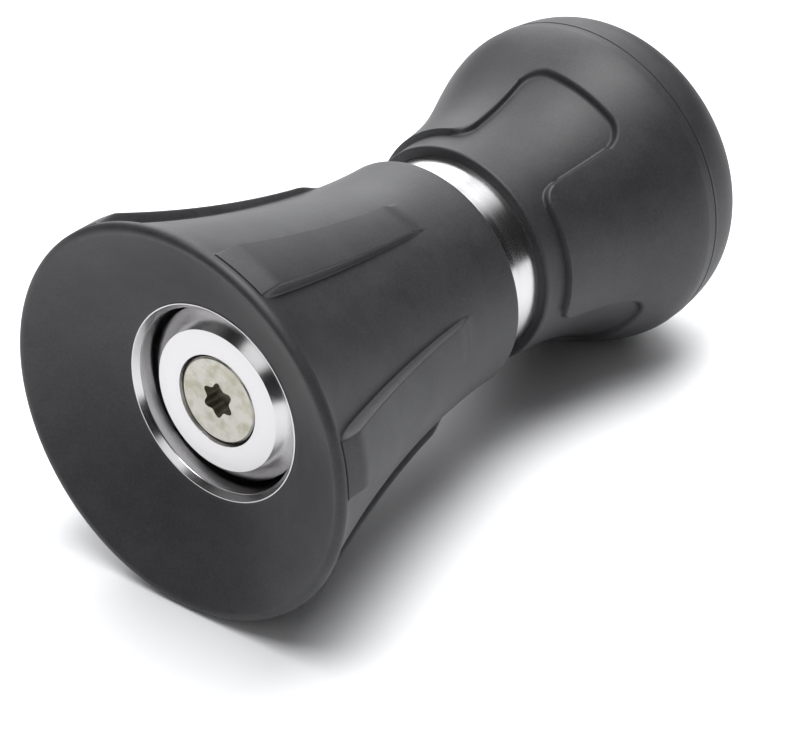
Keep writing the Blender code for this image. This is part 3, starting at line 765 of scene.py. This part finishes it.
def moulded_plastic(name, colour):
    """White acetal with a faint flow mottle."""
    finish, tree, shader, add = new_material(name)
    place = add("ShaderNodeTexCoord").outputs["Object"]
    flow = add("ShaderNodeTexNoise", {"Vector": place, "Scale": 320.0, "Detail": 3.0})
    shaded = (colour[0] * 0.9, colour[1] * 0.9, colour[2] * 0.86)
    tree.links.new(mix_colour(add, flow.outputs["Fac"], colour, shaded), shader.inputs["Base Color"])
    bump = add("ShaderNodeBump", {"Height": flow.outputs["Fac"], "Strength": 0.1, "Distance": 0.00005})
    tree.links.new(bump.outputs["Normal"], shader.inputs["Normal"])
    shader.inputs["Roughness"].default_value = 0.42
    shader.inputs["Subsurface Weight"].default_value = 0.05
    return finish


def floor_material():
    """Plain white studio floor."""
    finish, tree, shader, add = new_material("studio_floor")
    place = add("ShaderNodeTexCoord").outputs["Object"]
    paper = add("ShaderNodeTexNoise", {"Vector": place, "Scale": 700.0, "Detail": 2.0})
    bump = add("ShaderNodeBump", {"Height": paper.outputs["Fac"], "Strength": 0.04, "Distance": 0.0001})
    tree.links.new(bump.outputs["Normal"], shader.inputs["Normal"])
    shader.inputs["Base Color"].default_value = (0.86, 0.86, 0.87, 1.0)
    shader.inputs["Roughness"].default_value = 0.6
    shader.inputs["Specular IOR Level"].default_value = 0.2
    return finish


# Floor, light and camera

def lay_floor():
    """A wide floor that touches the rim and the bulb, so it slopes slightly under the level axis."""
    rim = Vector((0.0, RIM_Y, -RIM_RADIUS * MM))
    bulb = Vector((0.0, RIM_Y + 105.5 * MM, -BULB_RADIUS * MM))
    slope = math.atan2(bulb.z - rim.z, bulb.y - rim.y)
    clearance = 0.1 * MM
    half = 0.5
    mesh = bpy.data.meshes.new("floor")
    corners = [(-half, -half, 0.0), (half, -half, 0.0), (half, half, 0.0), (-half, half, 0.0)]
    mesh.from_pydata(corners, [], [(0, 1, 2, 3)])
    floor = bpy.data.objects.new("floor", mesh)
    bpy.context.scene.collection.objects.link(floor)
    floor.rotation_euler = (slope, 0.0, 0.0)
    floor.location = rim - Vector((0.0, 0.0, clearance))
    mesh.materials.append(floor_material())


def studio_world():
    """Soft light panels in a dim dome that lights and reflects, and plain white for the camera's own view."""
    world = bpy.data.worlds.new("studio")
    bpy.context.scene.world = world
    world.use_nodes = True
    tree = world.node_tree
    shade = tree.nodes["Background"]

    add = node_adder(tree)
    toward = add("ShaderNodeTexCoord").outputs["Generated"]
    level = ROOM_LEVEL
    for direction, inner, outer_edge, peak in PANELS:
        way = Vector(direction).normalized()
        aligned = add("ShaderNodeVectorMath", {0: toward, 1: way}, operation="DOT_PRODUCT")
        panel = add("ShaderNodeMapRange", {
            "Value": aligned.outputs["Value"], "From Min": math.cos(math.radians(outer_edge)),
            "From Max": math.cos(math.radians(inner)), "To Max": peak,
        }, interpolation_type="SMOOTHSTEP")
        level = add("ShaderNodeMath", {0: panel.outputs["Result"], 1: level}, operation="ADD").outputs[0]
    tree.links.new(level, shade.inputs["Strength"])
    shade.inputs["Color"].default_value = (0.985, 0.99, 1.0, 1.0)
    plain = add("ShaderNodeBackground", {"Color": (1.0, 1.0, 1.0, 1.0)})
    path = add("ShaderNodeLightPath")
    choose = add("ShaderNodeMixShader", {
        0: path.outputs["Is Camera Ray"], 1: shade.outputs[0], 2: plain.outputs[0],
    })
    tree.links.new(choose.outputs[0], tree.nodes["World Output"].inputs["Surface"])


def place_camera():
    """Long lens from the right of the mouth and above."""
    azimuth = math.radians(39.35)
    elevation = math.radians(31.43)
    distance = 0.636
    aside = -0.0020
    upwards = -0.0161
    low, high = cad_box
    way_back = Vector((
        math.sin(azimuth) * math.cos(elevation), -math.cos(azimuth) * math.cos(elevation),
        math.sin(elevation),
    ))
    right = Vector((math.cos(azimuth), math.sin(azimuth), 0.0))
    up = way_back.cross(right)
    camera = bpy.data.objects.new("camera", bpy.data.cameras.new("camera"))
    bpy.context.scene.collection.objects.link(camera)
    camera.data.lens = 168.2
    camera.data.sensor_width = 36.0
    camera.data.clip_start = 0.05
    camera.data.clip_end = 100.0
    turn = Matrix((right, up, way_back)).transposed().to_4x4()
    place = (low + high) / 2 + way_back * distance + right * aside + up * upwards
    camera.matrix_world = Matrix.Translation(place) @ turn
    bpy.context.scene.camera = camera


# Assembly

rubber = moulded_rubber("charcoal_rubber", (0.0165, 0.0161, 0.0178), (0.0275, 0.027, 0.029), 0.5)
seal = moulded_rubber("black_seal_rubber", (0.014, 0.014, 0.015), (0.024, 0.024, 0.026), 0.42)
bright = lathe_metal("turned_aluminium", (0.56, 0.552, 0.556), 0.2, 0.2)
neck_metal = lathe_metal("body_aluminium", (0.6, 0.595, 0.6), 0.22, 0.06, 0.3)
steel = lathe_metal("stainless_steel", (0.45, 0.435, 0.395), 0.33, 0.15, 0.2, 0.75)
acetal = moulded_plastic("white_acetal", (0.85, 0.85, 0.82))

install(bell_sleeve(), "barrel_sleeve", "barrel", rubber)
install(barrel_tube(), "barrel", "barrel", bright)
wiper = flat_ring("wiper_ring", "neck_wiper_ring", 18.4, 0.3)
install(wiper, "neck_wiper_ring", "barrel_wiper", seal)

install(body_tube(), "nozzle_body", "nozzle", neck_metal)
install(bulb_grip(), "rear_grip", "nozzle", rubber)
install(o_ring("nose_o_ring", 14.6, 34.1, 0.72), "nose_seal_ring", "nozzle", seal)
install(stem_rod(), "baffle_stem", "nozzle", steel)
install(spider_ring(), "stem_spider", "nozzle", acetal)
spider_clip = split_ring("spider_clip", 11.2, 13.2, 53.5, 54.2, 24.0)
install(spider_clip, "spider_retaining_ring", "nozzle", steel)
install(flat_ring("rod_washer", "stem_washer", 4.3, 0.15), "stem_washer", "nozzle", steel)
install(hex_nut(), "stem_nut", "nozzle", steel)
install(spray_disc(), "baffle_disc", "nozzle", bright)
install(o_ring("disc_o_ring", 13.4, 15.86, 1.15), "baffle_seal_ring", "nozzle", seal)
install(disc_screw(), "baffle_screw", "nozzle", steel)
thrust_washer = flat_ring("thrust_washer", "swivel_thrust_washer", 11.85, 0.1)
install(thrust_washer, "swivel_thrust_washer", "nozzle", acetal)
swivel_clip = split_ring("swivel_clip", 11.1, 13.1, 104.85, 105.65, 20.0)
install(swivel_clip, "swivel_retaining_ring", "nozzle", steel)
install(screen_plate(), "inlet_screen", "nozzle", steel)

install(coupling_nut(), "swivel_nut", "hose_coupling", bright)
install(collar_ring(), "coupling_collar", "hose_coupling", rubber)
hose_seal = flat_ring("hose_seal_washer", "hose_washer", TAIL_BORE, 0.3)
install(hose_seal, "hose_washer", "hose_coupling", seal)

lay_floor()
studio_world()
place_camera()
bpy.context.scene.view_settings.view_transform = "Standard"
